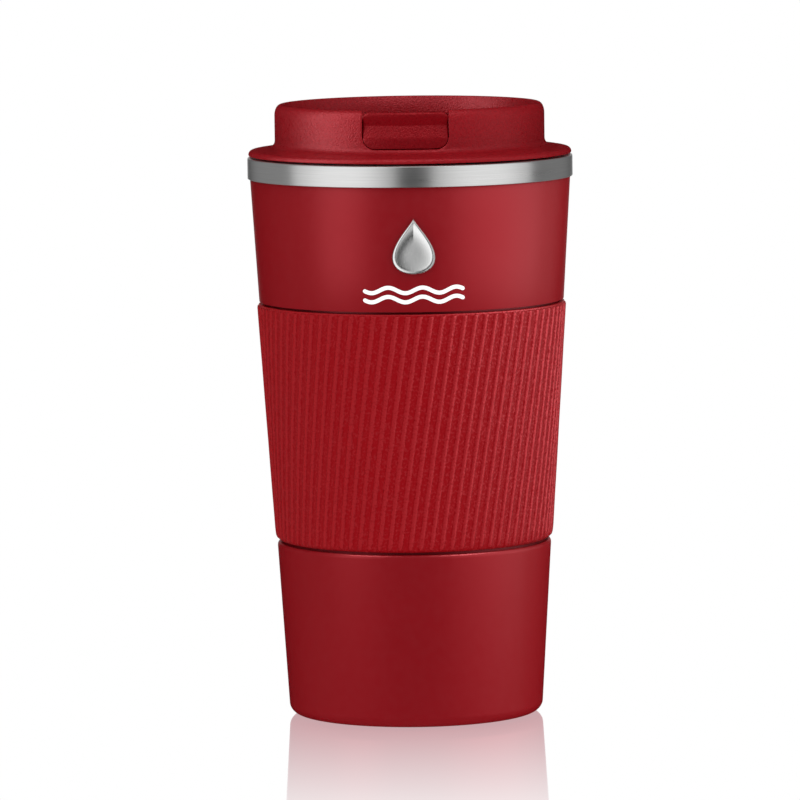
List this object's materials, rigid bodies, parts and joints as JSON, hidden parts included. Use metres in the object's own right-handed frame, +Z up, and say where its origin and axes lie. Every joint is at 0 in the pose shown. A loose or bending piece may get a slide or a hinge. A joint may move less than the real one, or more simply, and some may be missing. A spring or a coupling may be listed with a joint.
{
  "type": "insulated travel mug",
  "caption": "Double-walled steel travel mug with a ribbed silicone grip sleeve and a screw-in plastic lid with a flip-up drinking flap.",
  "frame": {"origin": "centre of the base, on the surface that the mug stands on", "axes": "+Z up along the mug's axis, -Y towards the drinking side, where the flap is, +X to the right seen from the front"},
  "size_m": [0.09, 0.0901, 0.17],
  "materials": {
    "body_paint": "satin powder coat",
    "band_steel": "brushed round the axis",
    "liner_steel": "electropolished sheet",
    "cap_steel": "spun finish",
    "foil_copper": "bright foil",
    "solder_glass": "opaque fired bead",
    "getter_metal": "sintered pellet",
    "pad_rubber": "matte",
    "sleeve_silicone": "soft matte",
    "badge_chrome": "satin bright metal",
    "adhesive_foam": "matte",
    "print_white": "screen print ink",
    "seal_silicone": "translucent grey",
    "lid_plastic": "fine moulded grain",
    "core_plastic": "smooth moulded"
  },
  "bodies": {
    "cup": {"outer_shell": "body_paint", "inner_liner": "liner_steel", "rim_band": "band_steel", "copper_foil": "foil_copper", "base_plate": "liner_steel", "vacuum_seal": "solder_glass", "getter": "getter_metal", "getter_clip": "liner_steel", "base_cap": "cap_steel", "foot_pad": "pad_rubber", "grip_sleeve": "sleeve_silicone", "badge": "badge_chrome", "badge_adhesive": "adhesive_foam"},
    "lid_seal": {"plug_gasket": "seal_silicone"},
    "lid": {"lid_shell": "lid_plastic", "lid_core": "core_plastic", "core_base": "core_plastic", "hinge_pin": "liner_steel"},
    "flap": {"flap": "lid_plastic", "spout_plug": "seal_silicone", "vent_plug": "seal_silicone"}
  },
  "joints": [
    {"name": "lid_rise", "type": "slide", "parent": "cup", "child": "lid_seal", "axis": [0, 0, 1], "range_m": [0, 0.024]},
    {"name": "lid_turn", "type": "hinge", "parent": "lid_seal", "child": "lid", "pos_m": [0, 0, 0.15], "axis": [0, 0, 1], "range_deg": [0, 720]},
    {"name": "flap_hinge", "type": "hinge", "parent": "lid", "child": "flap", "pos_m": [0, 0.004, 0.1651], "axis": [-1, 0, 0], "range_deg": [0, 160]}
  ],
  "couplings": [
    {"joint": "lid_rise", "follows": "lid_turn", "m_per_rad": 0.0019099}
  ]
}
